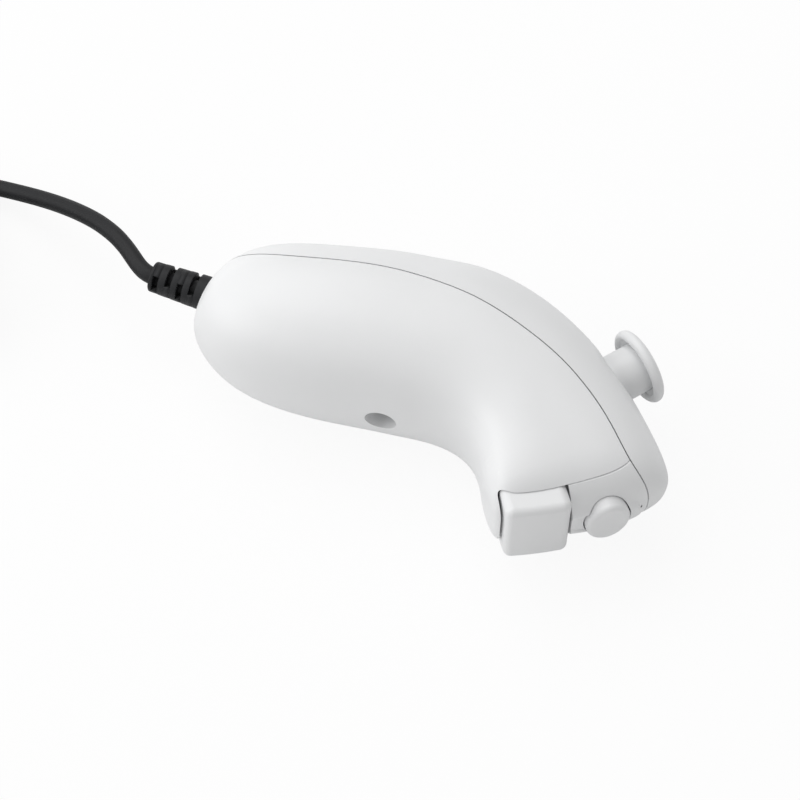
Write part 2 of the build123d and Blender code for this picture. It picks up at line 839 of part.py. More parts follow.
# Main board with its chips, socket and screws
post_run = (board_level - belly.origin.Y) / belly_in.Y
post_cross = belly.origin + belly_in * post_run
with BuildPart() as main_board:
    with BuildSketch(board):
        Rectangle(main_board_length, main_board_width)
    extrude(amount=-main_board_thickness)
    with BuildSketch(board):
        with Locations(*main_post_spots):
            Circle(cover_screw_shank / 2 + running_gap)
        with Locations((post_cross.X - board_centre.X, 0)):
            Circle(cover_post_diameter / 2 + 3 * fit_gap)
    extrude(amount=-main_board_thickness, mode=Mode.SUBTRACT)
with BuildPart() as main_screws:
    add(
        screw(
            board,
            main_post_spots,
            cover_screw_head,
            cover_screw_cap,
            cover_screw_shank,
            cover_screw_length,
        )
    )
with BuildPart() as control_chip:
    with BuildSketch(board):
        with Locations((-control_chip_shift, 0)):
            Rectangle(control_chip_size, control_chip_size)
    extrude(amount=control_chip_height)
with BuildPart() as motion_chip:
    with BuildSketch(board):
        with Locations((motion_chip_shift, 0)):
            Rectangle(motion_chip_size, motion_chip_size)
    extrude(amount=motion_chip_height)
socket_middle = (socket_length - main_board_length) / 2
with BuildPart() as cable_socket:
    with BuildSketch(board):
        with Locations((socket_middle, 0)):
            Rectangle(socket_length, socket_width)
    extrude(amount=socket_height)
    with BuildSketch(board.offset(socket_wall)):
        with Locations((socket_middle - socket_wall, 0)):
            Rectangle(socket_length, socket_width - 2 * socket_wall)
    extrude(amount=socket_height - 2 * socket_wall, mode=Mode.SUBTRACT)
inner_plug_start = -main_board_length / 2 + socket_length - socket_wall - inner_plug_length
with BuildPart() as cable_plug:
    with BuildSketch(board.offset(socket_wall + running_gap)):
        with Locations((inner_plug_start + inner_plug_length / 2, 0)):
            Rectangle(
                inner_plug_length,
                socket_width - 2 * socket_wall - 2 * running_gap,
            )
    extrude(amount=socket_height - 2 * socket_wall - 2 * running_gap)

# Boot, with its collar behind the shell's wall and its staggered windows
boot_radial = Plane(origin=rear, x_dir=(0, 0, 1), z_dir=(0, -1, 0))
with BuildPart() as cord_boot:
    with BuildSketch(boot_radial):
        with BuildLine():
            Polyline(
                (0, -boot_neck - boot_collar_thickness),
                (boot_collar_diameter / 2, -boot_neck - boot_collar_thickness),
                (boot_collar_diameter / 2, -boot_neck),
                (boot_diameter / 2, -boot_neck),
                (boot_diameter / 2, 0),
                (boot_end_diameter / 2, boot_length),
                (0, boot_length),
                close=True,
            )
        make_face()
    revolve(axis=Axis(rear, cord_out.z_dir))
    fillet(cord_boot.edges().group_by(Axis.X)[0], boot_edge)
    for number, share in enumerate(window_place_shares):
        side = 1 if number % 2 else -1
        with BuildSketch(cord_out.offset(boot_length * (1 - share) - window_width / 2)):
            with Locations((0, side * (window_bridge + boot_diameter / 2))):
                Rectangle(2 * boot_diameter, boot_diameter)
            Circle(window_core / 2, mode=Mode.SUBTRACT)
        extrude(amount=window_width, mode=Mode.SUBTRACT)
lead_start = rear + Vector(boot_neck + boot_collar_thickness, 0, 0)
lead_run = board_centre.X + inner_plug_start - lead_start.X
with BuildPart() as inner_lead:
    with BuildSketch(Plane(origin=lead_start, x_dir=(0, 0, 1), z_dir=(1, 0, 0))):
        Circle(inner_lead_diameter / 2)
    extrude(amount=lead_run)

# Case screw, its head on the recess's floor
recess_face = Plane(
    origin=belly.origin + belly_in * recess_depth, x_dir=belly_way, z_dir=belly_in * -1
)
with BuildPart() as case_screw:
    add(
        screw(
            recess_face,
            [(0, 0)],
            case_screw_head,
            case_screw_cap,
            case_screw_shank,
            case_screw_length,
        )
    )

# Cord
drop = mid - cord_diameter / 2 - coil_lift
cord_exit = rear - Vector(boot_length, 0, 0)
lead_line = [cord_exit + Vector(x, y, -share * drop) for x, y, share in lead_points]


def bends(points):
    """The radius of each corner: 0.45 of its shorter run, divided by the tangent of half its turn."""
    radii = []
    for before, at, after in zip(points, points[1:], points[2:]):
        turn = radians((at - before).get_angle(after - at))
        radii.append(0.45 * min((at - before).length, (after - at).length) / tan(turn / 2))
    return radii


def tube(points, label):
    """A cord along straight runs joined by tangent arcs."""
    radii = bends(points)
    print(label, "radii", [round(r, 1) for r in radii])
    with BuildPart() as made:
        with BuildLine() as route:
            FilletPolyline(*points, radius=radii)
        start = Plane(origin=points[0], z_dir=points[1] - points[0])
        with BuildSketch(start):
            Circle(cord_diameter / 2)
        sweep(path=route.wires()[0])
    length = route.wires()[0].length
    ratio = made.part.volume / (pi * cord_diameter**2 / 4 * length)
    print(label, "length", round(length, 1), "volume against section times length", round(ratio, 4))
    return made.part, length


lead_solid, lead_length = tube(lead_line, "lead")
heading = (lead_line[-1] - lead_line[-2]).normalized()
left = Vector(-heading.Y, heading.X, 0)
coil_start = lead_line[-1] + heading * coil_straight
coil_centre = coil_start + left * coil_outer_radius
coil_steps = 2 * coil_half_quarters


def coil_place(step):
    """Radius and height of the coil's centre line after so many quarter turns."""
    inward = min(step, coil_steps - step)
    climbed = step - coil_half_quarters + coil_climb_quarters / 2
    climb = min(max(climbed, 0), coil_climb_quarters) / coil_climb_quarters
    return coil_outer_radius - coil_pitch * inward / 4, coil_pitch * climb


def coil_node(step):
    """A point of the coil and its direction there."""
    radius, height = coil_place(step)
    angle = step * pi / 2
    outward = left * -cos(angle) + heading * sin(angle)
    around = heading * cos(angle) + left * sin(angle)
    point = coil_centre + outward * radius + Vector(0, 0, height)
    if step in (0, coil_steps):
        return point, around
    before, after = coil_place(step - 1), coil_place(step + 1)
    rise = 2 * min(height - before[1], after[1] - height)
    way = around * radius * pi + outward * (after[0] - before[0])
    return point, (way + Vector(0, 0, rise)).normalized()


def biarc(start, start_way, end, end_way):
    """The two tangent arcs that join two points along their directions."""
    chord = end - start
    ways = start_way + end_way
    spread = 2 * (1 - start_way.dot(end_way))
    reach = (sqrt(chord.dot(ways) ** 2 + spread * chord.dot(chord)) - chord.dot(ways)) / spread
    joint = toward(start + start_way * reach, end - end_way * reach, 0.5)
    first = TangentArc(start, joint, tangent=start_way)
    TangentArc(joint, end, tangent=first % 1)


with BuildPart() as coil_made:
    with BuildLine() as coil_route:
        nodes = [coil_node(step) for step in range(coil_steps + 1)]
        Line(nodes[0][0] - heading * coil_straight, nodes[0][0])
        for (point, way), (next_point, next_way) in zip(nodes, nodes[1:]):
            biarc(point, way, next_point, next_way)
        coil_end_way = nodes[-1][1]
        coil_end = nodes[-1][0] + coil_end_way * coil_straight
        Line(nodes[-1][0], coil_end)
    with BuildSketch(Plane(origin=nodes[0][0] - heading * coil_straight, z_dir=heading)):
        Circle(cord_diameter / 2)
    sweep(path=coil_route.wires()[0])
coil_wire = coil_route.wires()[0]
coil_length = coil_wire.length
coil_ratio = coil_made.part.volume / (pi * cord_diameter**2 / 4 * coil_length)
print("coil length", round(coil_length, 1), "volume against section times length", round(coil_ratio, 4))
samples = [coil_wire.position_at(k / 700) for k in range(701)]
apart = ceil(3 * cord_diameter / (coil_length / 700))
least = min(
    (samples[i] - samples[j]).length
    for i in range(0, 701, 2)
    for j in range(i + apart, 701)
)
print("coil least gap to itself", round(least - cord_diameter, 2))

coil_left = Vector(-coil_end_way.Y, coil_end_way.X, 0)
tail_rise = cord_diameter / 2 + coil_lift + plug_height / 2
tail_line = [
    coil_end + coil_end_way * ahead + coil_left * aside + Vector(0, 0, share * tail_rise)
    for ahead, aside, share in tail_points
]
tail_solid, tail_length = tube(tail_line, "tail")
print("cord length", round(lead_length + coil_length + tail_length, 1))
with BuildPart() as cord_lead:
    add(lead_solid)
with BuildPart() as cord_coil:
    add(coil_made.part)
with BuildPart() as cord_tail:
    add(tail_solid)

# Plug: z forward out of the cord, x to its left, y up
plug_way = (tail_line[-1] - tail_line[-2]).normalized()
plug = Plane(origin=tail_line[-1], x_dir=(-plug_way.Y, plug_way.X, 0), z_dir=plug_way)
plug_front = plug_boot_length + plug_length
pad_middle = plug_front - latch_pad_inset - latch_pad_length / 2
latch_outer = plug_width / 2 - plug_wall - fit_gap
latch_inner = latch_outer - latch_arm
with BuildPart() as plug_boot:
    with BuildSketch(radial(plug)):
        with BuildLine():
            Polyline(
                (0, 0),
                (plug_boot_end / 2, 0),
                (plug_boot_diameter / 2, plug_boot_length),
                (0, plug_boot_length),
                close=True,
            )
        make_face()
    revolve(axis=Axis(plug.origin, plug.z_dir))
    groove_pitch = plug_boot_length / (plug_boot_grooves + 1)
    for number in range(plug_boot_grooves):
        with BuildSketch(plug.offset(groove_pitch * (number + 1) - plug_boot_groove / 2)):
            Circle(plug_boot_diameter)
            Circle(plug_boot_end / 2 - plug_boot_groove_depth / 2, mode=Mode.SUBTRACT)
        extrude(amount=plug_boot_groove, mode=Mode.SUBTRACT)


def plug_half(side):
    """One half of the plug's housing, above or below its middle."""
    with BuildPart() as half:
        with BuildSketch(plug.offset(plug_boot_length)):
            RectangleRounded(plug_width, plug_height, plug_edge)
        extrude(amount=plug_length)
        with BuildSketch(plug.offset(plug_boot_length + plug_wall)):
            Rectangle(plug_width - 2 * plug_wall, plug_height - 2 * plug_wall)
        extrude(amount=plug_length - plug_wall - plug_face_wall, mode=Mode.SUBTRACT)
        with BuildSketch(plug.offset(plug_front - plug_face_wall - overrun)):
            Rectangle(insert_width + 2 * insert_gap, insert_height + 2 * insert_gap)
            for turn in (-1, 1):
                with Locations((turn * (latch_outer - (latch_arm + latch_travel) / 2), 0)):
                    Rectangle(
                        latch_arm + latch_travel + fit_gap,
                        latch_arm_height + 2 * fit_gap,
                    )
        extrude(amount=plug_face_wall + 2 * overrun, mode=Mode.SUBTRACT)
        with BuildSketch(plug.offset(pad_middle - latch_pad_length / 2 - fit_gap)):
            Rectangle(2 * plug_width, latch_pad_height + 2 * fit_gap)
            Rectangle(2 * latch_inner, plug_height, mode=Mode.SUBTRACT)
        extrude(amount=latch_pad_length + 2 * fit_gap, mode=Mode.SUBTRACT)
        with BuildSketch(plug.offset(-overrun)):
            with Locations((0, -side * plug_height)):
                Rectangle(2 * plug_width, 2 * plug_height)
        extrude(amount=plug_front + 2 * overrun, mode=Mode.SUBTRACT)
    return half.part


with BuildPart() as plug_upper:
    add(plug_half(1))
with BuildPart() as plug_lower:
    add(plug_half(-1))
insert_start = plug_front + insert_reach - insert_length
with BuildPart() as plug_insert:
    with BuildSketch(plug.offset(insert_start)):
        RectangleRounded(insert_width, insert_height, insert_edge)
    extrude(amount=insert_length)
    with BuildSketch(plug.offset(insert_start + insert_length - insert_slot_depth)):
        Rectangle(insert_slot_width, insert_slot_height)
    extrude(amount=insert_slot_depth, mode=Mode.SUBTRACT)
with BuildPart() as plug_contacts:
    with BuildSketch(plug.offset(insert_start + insert_length - insert_slot_depth)):
        for side in (-1, 1):
            with Locations((0, side * (insert_slot_height - contact_thickness) / 2)):
                with GridLocations(contact_pitch, 0, contact_count, 1):
                    Rectangle(contact_width, contact_thickness)
    extrude(amount=contact_length)


def latch(side):
    """One latch: its pad in the side window, its arm through the plug's face and its hook."""
    with BuildPart() as made:
        with BuildSketch(plug.offset(pad_middle - latch_pad_length / 2)):
            with Locations(
                (side * (latch_inner + plug_width / 2 + latch_pad_rise) / 2, 0)
            ):
                Rectangle(plug_width / 2 + latch_pad_rise - latch_inner, latch_pad_height)
        extrude(amount=latch_pad_length)
        with BuildSketch(plug.offset(pad_middle - latch_pad_length / 2 - latch_arm)):
            with Locations((side * (latch_inner + latch_outer) / 2, 0)):
                Rectangle(latch_arm, latch_plate_height)
        extrude(amount=latch_pad_length + 2 * latch_arm)
        with BuildSketch(plug.offset(pad_middle)):
            with Locations((side * (latch_inner + latch_outer) / 2, 0)):
                Rectangle(latch_arm, latch_arm_height)
        extrude(amount=plug_front + latch_reach - pad_middle)
        with BuildSketch(plug.offset(plug_front + latch_reach - latch_hook_length)):
            with Locations((side * (latch_outer + latch_hook / 2), 0)):
                Rectangle(latch_hook, latch_arm_height)
        extrude(amount=latch_hook_length)
    return made.part


with BuildPart() as latch_left:
    add(latch(1))
with BuildPart() as latch_right:
    add(latch(-1))

# One file for each piece
pieces = {
    "lower_shell": lower_shell,
    "top_cover": top_cover,
    "front_bezel": front_bezel,
    "case_screw": case_screw,
    "c_button": c_button,
    "z_trigger": z_trigger,
    "trigger_pin": trigger_pin,
    "trigger_pad": trigger_pad,
    "button_pad": button_pad,
    "button_board": button_board,
    "stick_cap": stick_cap,
    "stick_shaft": stick_shaft,
    "stick_pin": stick_pin,
    "stick_yoke": stick_yoke,
    "stick_arch": stick_arch,
    "stick_housing": stick_housing,
    "side_sensor": side_sensor,
    "front_sensor": front_sensor,
    "stick_board": stick_board,
    "stick_screws": stick_screws,
    "main_board": main_board,
    "main_screws": main_screws,
    "control_chip": control_chip,
    "motion_chip": motion_chip,
    "cable_socket": cable_socket,
    "cable_plug": cable_plug,
    "inner_lead": inner_lead,
    "cord_boot": cord_boot,
    "cord_lead": cord_lead,
    "cord_coil": cord_coil,
    "cord_tail": cord_tail,
    "plug_boot": plug_boot,
    "plug_upper": plug_upper,
    "plug_lower": plug_lower,
    "plug_insert": plug_insert,
    "plug_contacts": plug_contacts,
    "latch_left": latch_left,
    "latch_right": latch_right,
}
os.makedirs("parts", exist_ok=True)
for name, piece in pieces.items():
    piece.part.label = name
    export_step(piece.part, f"parts/{name}.step")
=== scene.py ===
"""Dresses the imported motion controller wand: its camera, light, finishes, boot, pads and cord."""

import logging
import math
from dataclasses import dataclass, field
from enum import Enum

import bmesh
import bpy
from mathutils import Matrix, Vector

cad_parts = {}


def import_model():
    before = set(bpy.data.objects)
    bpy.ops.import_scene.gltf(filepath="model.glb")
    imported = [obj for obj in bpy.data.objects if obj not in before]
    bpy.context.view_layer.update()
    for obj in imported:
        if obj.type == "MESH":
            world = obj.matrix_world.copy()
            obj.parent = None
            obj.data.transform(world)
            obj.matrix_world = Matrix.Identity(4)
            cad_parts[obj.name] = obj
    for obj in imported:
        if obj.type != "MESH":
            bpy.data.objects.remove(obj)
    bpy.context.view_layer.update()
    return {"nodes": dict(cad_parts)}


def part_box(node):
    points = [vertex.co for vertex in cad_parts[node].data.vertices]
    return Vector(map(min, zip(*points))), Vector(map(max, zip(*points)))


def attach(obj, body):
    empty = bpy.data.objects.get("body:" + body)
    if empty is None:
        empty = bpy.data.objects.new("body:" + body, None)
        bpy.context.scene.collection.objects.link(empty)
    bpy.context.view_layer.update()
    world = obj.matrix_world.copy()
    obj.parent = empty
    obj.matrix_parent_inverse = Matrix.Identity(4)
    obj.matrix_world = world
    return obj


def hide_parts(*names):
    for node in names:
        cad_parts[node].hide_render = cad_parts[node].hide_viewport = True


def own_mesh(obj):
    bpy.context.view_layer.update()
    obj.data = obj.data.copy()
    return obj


log = logging.getLogger("wand")

MM = 0.001
WHITE = (1.0, 1.0, 1.0, 1.0)


class Grain(Enum):
    """The kind of small relief that a finish has."""

    EVEN = "even"
    BRUSHED = "brushed"


# Camera, light and surroundings


@dataclass(frozen=True)
class Viewpoint:
    """The photograph's camera: what it looks at, from where, and how wide it sees."""

    aim: tuple[float, float, float] = (0.00062, -0.00622, 0.0191)
    azimuth: float = 20.0
    elevation: float = 64.0
    distance: float = 0.620
    field_of_view: float = 16.3
    sensor_width: float = 36.0
    clip: tuple[float, float] = (0.01, 20.0)

    def build(self) -> None:
        """Makes the camera and sets it as the scene's own."""
        lens = bpy.data.cameras.new("photo_camera")
        lens.sensor_width = self.sensor_width
        lens.angle = math.radians(self.field_of_view)
        lens.clip_start, lens.clip_end = self.clip
        camera = bpy.data.objects.new("photo_camera", lens)
        bpy.context.scene.collection.objects.link(camera)
        turn, rise = math.radians(self.azimuth), math.radians(self.elevation)
        back = Vector(
            (
                math.sin(turn) * math.cos(rise),
                -math.cos(turn) * math.cos(rise),
                math.sin(rise),
            )
        )
        camera.location = Vector(self.aim) + back * self.distance
        camera.rotation_mode = "QUATERNION"
        camera.rotation_quaternion = (-back).to_track_quat("-Z", "Y")
        bpy.context.scene.camera = camera


@dataclass(frozen=True)
class Studio:
    """A plain white table under soft light."""

    world_level: float = 0.5
    key_power: float = 6.1
    fill_power: float = 4.75
    key_place: tuple[float, float, float] = (-0.5, 0.45, 1.05)
    fill_place: tuple[float, float, float] = (-0.93, -0.36, 0.6)
    lamp_aim: tuple[float, float, float] = (0.0, 0.0, 0.02)
    lamp_size: float = 0.9
    floor_size: float = 6.0
    floor_colour: tuple[float, float, float, float] = (0.93, 0.93, 0.93, 1.0)
    shadow_share: float = 0.1

    def world(self) -> None:
        """Makes a white surround that lights the object more softly than it shows."""
        world = bpy.data.worlds.new("studio_world")
        world.use_nodes = True
        tree = world.node_tree
        tree.nodes.clear()
        out = tree.nodes.new("ShaderNodeOutputWorld")
        light = tree.nodes.new("ShaderNodeBackground")
        light.inputs["Color"].default_value = WHITE
        light.inputs["Strength"].default_value = self.world_level
        shown = tree.nodes.new("ShaderNodeBackground")
        shown.inputs["Color"].default_value = WHITE
        shown.inputs["Strength"].default_value = 1.0
        path = tree.nodes.new("ShaderNodeLightPath")
        mix = tree.nodes.new("ShaderNodeMixShader")
        tree.links.new(path.outputs["Is Camera Ray"], mix.inputs["Fac"])
        tree.links.new(light.outputs[0], mix.inputs[1])
        tree.links.new(shown.outputs[0], mix.inputs[2])
        tree.links.new(mix.outputs[0], out.inputs["Surface"])
        bpy.context.scene.world = world

    def lamp(self, name: str, place: Vector, power: float) -> None:
        """Makes one soft square lamp.

        Args:
            name: The lamp's name.
            place: Where it hangs, in metres.
            power: Its power, in watts.
        """
        data = bpy.data.lights.new(name, "AREA")
        data.shape = "SQUARE"
        data.size = self.lamp_size
        data.energy = power
        lamp = bpy.data.objects.new(name, data)
        lamp.location = place
        lamp.rotation_mode = "QUATERNION"
        lamp.rotation_quaternion = (Vector(self.lamp_aim) - place).to_track_quat("-Z", "Y")
        bpy.context.scene.collection.objects.link(lamp)

    def floor(self) -> None:
        """Lays the white table, which keeps a part of the shadow."""
        mesh = bpy.data.meshes.new("table_top")
        shape = bmesh.new()
        bmesh.ops.create_grid(shape, x_segments=1, y_segments=1, size=self.floor_size / 2)
        shape.to_mesh(mesh)
        shape.free()
        floor = bpy.data.objects.new("table_top", mesh)
        bpy.context.scene.collection.objects.link(floor)
        paper = bpy.data.materials.new("white_paper")
        paper.use_nodes = True
        tree = paper.node_tree
        tree.nodes.clear()
        out = tree.nodes.new("ShaderNodeOutputMaterial")
        matte = tree.nodes.new("ShaderNodeBsdfDiffuse")
        matte.inputs["Color"].default_value = self.floor_colour
        glow = tree.nodes.new("ShaderNodeEmission")
        glow.inputs["Color"].default_value = WHITE
        glow.inputs["Strength"].default_value = 1.0
        path = tree.nodes.new("ShaderNodeLightPath")
        share = tree.nodes.new("ShaderNodeMath")
        share.operation = "MULTIPLY"
        share.inputs[1].default_value = 1.0 - self.shadow_share
        mix = tree.nodes.new("ShaderNodeMixShader")
        tree.links.new(path.outputs["Is Camera Ray"], share.inputs[0])
        tree.links.new(share.outputs[0], mix.inputs["Fac"])
        tree.links.new(matte.outputs[0], mix.inputs[1])
        tree.links.new(glow.outputs[0], mix.inputs[2])
        tree.links.new(mix.outputs[0], out.inputs["Surface"])
        mesh.materials.append(paper)

    def build(self) -> None:
        """Makes the world, the lamps and the table."""
        self.world()
        self.lamp("key_light", Vector(self.key_place), self.key_power)
        self.lamp("fill_light", Vector(self.fill_place), self.fill_power)
        self.floor()
        bpy.context.scene.view_settings.view_transform = "Standard"


# Finishes


@dataclass(frozen=True)
class Finish:
    """One finish: its colour, its gloss, how it varies, and its small relief, in millimetres."""

    name: str
    colour: tuple[float, float, float]
    roughness: float = 0.45
    gloss_varies: float = 0.04
    metallic: float = 0.0
    varies: float = 0.02
    patch_size: float = 12.0
    patch_detail: float = 4.0
    patch_range: tuple[float, float] = (0.3, 0.7)
    grain: Grain = Grain.EVEN
    grain_size: float = 0.25
    grain_depth: float = 0.02
    grain_detail: float = 3.0
    grain_strength: float = 0.5
    brush_stretch: float = 0.06
    specular: float = 0.5
    coat: float = 0.0

    def material(self) -> bpy.types.Material:
        """Makes the finish's material, or gives the one already made.

        Returns:
            The material.
        """
        found = bpy.data.materials.get(self.name)
        if found:
            return found
        made = bpy.data.materials.new(self.name)
        made.use_nodes = True
        tree = made.node_tree
        shader = tree.nodes["Principled BSDF"]
        shader.inputs["Metallic"].default_value = self.metallic
        shader.inputs["Specular IOR Level"].default_value = self.specular
        shader.inputs["Coat Weight"].default_value = self.coat
        place = tree.nodes.new("ShaderNodeTexCoord")
        patches = tree.nodes.new("ShaderNodeTexNoise")
        patches.inputs["Scale"].default_value = 1.0 / (self.patch_size * MM)
        patches.inputs["Detail"].default_value = self.patch_detail
        tree.links.new(place.outputs["Object"], patches.inputs["Vector"])
        shade = self.spread(tree, patches, 1.0, self.varies)
        tint = tree.nodes.new("ShaderNodeMix")
        tint.data_type = "RGBA"
        tint.blend_type = "MULTIPLY"
        tint.inputs["Factor"].default_value = 1.0
        tint.inputs[6].default_value = (*self.colour, 1.0)
        tree.links.new(shade, tint.inputs[7])
        tree.links.new(tint.outputs[2], shader.inputs["Base Color"])
        gloss = self.spread(tree, patches, self.roughness, self.gloss_varies)
        tree.links.new(gloss, shader.inputs["Roughness"])
        self.relief(tree, place, shader)
        return made

    def spread(
        self, tree: bpy.types.NodeTree, patches: bpy.types.Node, middle: float, either_way: float
    ) -> bpy.types.NodeSocket:
        """Turns the patches into a value that varies about a middle one.

        Args:
            tree: The material's node tree.
            patches: The noise that makes the patches.
            middle: The middle value.
            either_way: How far it goes from the middle, either way.

        Returns:
            The socket that gives the value.
        """
        reach = tree.nodes.new("ShaderNodeMapRange")
        reach.inputs["From Min"].default_value = self.patch_range[0]
        reach.inputs["From Max"].default_value = self.patch_range[1]
        reach.inputs["To Min"].default_value = middle - either_way
        reach.inputs["To Max"].default_value = middle + either_way
        tree.links.new(patches.outputs["Fac"], reach.inputs["Value"])
        return reach.outputs["Result"]

    def relief(
        self, tree: bpy.types.NodeTree, place: bpy.types.Node, shader: bpy.types.Node
    ) -> None:
        """Adds the finish's small relief to its material.

        Args:
            tree: The material's node tree.
            place: The texture coordinate node.
            shader: The surface shader.
        """
        noise = tree.nodes.new("ShaderNodeTexNoise")
        noise.inputs["Scale"].default_value = 1.0 / (self.grain_size * MM)
        noise.inputs["Detail"].default_value = self.grain_detail
        source = place.outputs["Object"]
        if self.grain is Grain.BRUSHED:
            stretch = tree.nodes.new("ShaderNodeMapping")
            stretch.inputs["Scale"].default_value = (1.0, self.brush_stretch, 1.0)
            tree.links.new(source, stretch.inputs["Vector"])
            source = stretch.outputs["Vector"]
        tree.links.new(source, noise.inputs["Vector"])
        bump = tree.nodes.new("ShaderNodeBump")
        bump.inputs["Strength"].default_value = self.grain_strength
        bump.inputs["Distance"].default_value = self.grain_depth * MM
        tree.links.new(noise.outputs["Fac"], bump.inputs["Height"])
        tree.links.new(bump.outputs["Normal"], shader.inputs["Normal"])


SHELL_WHITE = Finish(
    "shell_white", (0.83, 0.835, 0.84), roughness=0.42, varies=0.008, grain_size=0.3
)
BUTTON_WHITE = Finish("button_white", (0.82, 0.825, 0.83), roughness=0.38, varies=0.008)
STICK_WHITE = Finish("stick_white", (0.81, 0.815, 0.82), roughness=0.45, varies=0.01)
CORD_BLACK = Finish(
    "cord_black",
    (0.014, 0.0145, 0.016),
    roughness=0.55,
    varies=0.15,
    patch_size=4.0,
    grain_size=0.12,
    specular=0.3,
)
PLUG_WHITE = Finish("plug_white", (0.80, 0.80, 0.81), roughness=0.42, varies=0.01)
INSERT_GREY = Finish("insert_grey", (0.66, 0.66, 0.67), roughness=0.4, varies=0.01)
INNER_BLACK = Finish("inner_black", (0.03, 0.03, 0.033), roughness=0.4)
NYLON_WHITE = Finish("nylon_white", (0.78, 0.78, 0.74), roughness=0.5)
BOARD_GREEN = Finish(
    "board_green", (0.02, 0.16, 0.06), roughness=0.3, varies=0.1, patch_size=1.5, coat=0.3
)
CHIP_BLACK = Finish("chip_black", (0.02, 0.02, 0.022), roughness=0.6)
DOME_GREY = Finish("dome_grey", (0.35, 0.36, 0.37), roughness=0.6)
SCREW_STEEL = Finish(
    "screw_steel",
    (0.50, 0.50, 0.51),
    roughness=0.3,
    metallic=1.0,
    grain=Grain.BRUSHED,
    grain_size=0.08,
    grain_depth=0.01,
)
CONTACT_GOLD = Finish(
    "contact_gold",
    (0.80, 0.62, 0.28),
    roughness=0.25,
    metallic=1.0,
    grain=Grain.BRUSHED,
    grain_size=0.06,
    grain_depth=0.005,
)


# Sub-assemblies


@dataclass
class Assembly:
    """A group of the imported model's nodes, the finishes they wear and the pieces made for them."""

    nodes: dict[str, bpy.types.Object]
    wears: dict[str, Finish] = field(default_factory=dict)

    def dress(self) -> None:
        """Gives each kept node its finish."""
        for name, finish in self.wears.items():
            node = self.nodes[name]
            node.data.materials.clear()
            node.data.materials.append(finish.material())
            log.info("dressed %s in %s", name, finish.name)

    def build(self) -> None:
        """Dresses the kept nodes; groups with pieces of their own make them here too."""
        self.dress()


@dataclass
class Shells(Assembly):
    """The lower shell, the top cover, the front bezel and the screw that holds them."""

    wears: dict[str, Finish] = field(
        default_factory=lambda: {
            "lower_shell": SHELL_WHITE,
            "top_cover": SHELL_WHITE,
            "front_bezel": SHELL_WHITE,
            "case_screw": SCREW_STEEL,
        }
    )


@dataclass
class FrontControls(Assembly):
    """The round button and the trigger with their pin and board."""

    wears: dict[str, Finish] = field(
        default_factory=lambda: {
            "c_button": BUTTON_WHITE,
            "z_trigger": BUTTON_WHITE,
            "trigger_pin": SCREW_STEEL,
            "button_board": BOARD_GREEN,
        }
    )


@dataclass
class RubberPads(Assembly):
    """The two rubber pads, each under the control that presses it."""

    outward: tuple[float, float, float] = (0.578543, -0.815652, 0.0)
    presses: dict[str, tuple[str, float]] = field(
        default_factory=lambda: {
            "button_pad": ("button_press", 0.8),
            "trigger_pad": ("trigger_pull", 0.65),
        }
    )

    def build(self) -> None:
        """Lets a copy of each pad, in its own mesh and dome grey, stand for it."""
        for name, (joint, keep) in self.presses.items():
            mesh = self.nodes[name].data.copy()
            mesh.materials.clear()
            mesh.materials.append(DOME_GREY.material())
            piece = bpy.data.objects.new(f"{name}_rubber", mesh)
            bpy.context.scene.collection.objects.link(piece)
            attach(piece, "handle")
            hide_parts(name)
            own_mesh(piece)
            log.info("made %s, which flattens with %s", piece.name, joint)


@dataclass
class ThumbStick(Assembly):
    """The thumb stick, its two rockers and the module that carries them."""

    wears: dict[str, Finish] = field(
        default_factory=lambda: {
            "stick_cap": STICK_WHITE,
            "stick_shaft": SCREW_STEEL,
            "stick_pin": SCREW_STEEL,
            "stick_yoke": NYLON_WHITE,
            "stick_arch": NYLON_WHITE,
            "stick_housing": INNER_BLACK,
            "side_sensor": INNER_BLACK,
            "front_sensor": INNER_BLACK,
            "stick_board": BOARD_GREEN,
            "stick_screws": SCREW_STEEL,
        }
    )


@dataclass
class Electronics(Assembly):
    """The main board with its chips, its cable connector and the lead inside."""

    wears: dict[str, Finish] = field(
        default_factory=lambda: {
            "main_board": BOARD_GREEN,
            "main_screws": SCREW_STEEL,
            "control_chip": CHIP_BLACK,
            "motion_chip": CHIP_BLACK,
            "cable_socket": NYLON_WHITE,
            "cable_plug": NYLON_WHITE,
            "inner_lead": CORD_BLACK,
        }
    )


@dataclass
class Plug(Assembly):
    """The plug at the cord's far end, with its two latches and its contacts."""

    wears: dict[str, Finish] = field(
        default_factory=lambda: {
            "plug_boot": CORD_BLACK,
            "plug_upper": PLUG_WHITE,
            "plug_lower": PLUG_WHITE,
            "plug_insert": INSERT_GREY,
            "plug_contacts": CONTACT_GOLD,
            "latch_left": PLUG_WHITE,
            "latch_right": PLUG_WHITE,
        }
    )


@dataclass(frozen=True)
class Window:
    """One opening through a gap of the strain relief: its middle and half its width, in degrees."""

    middle: float
    half: float


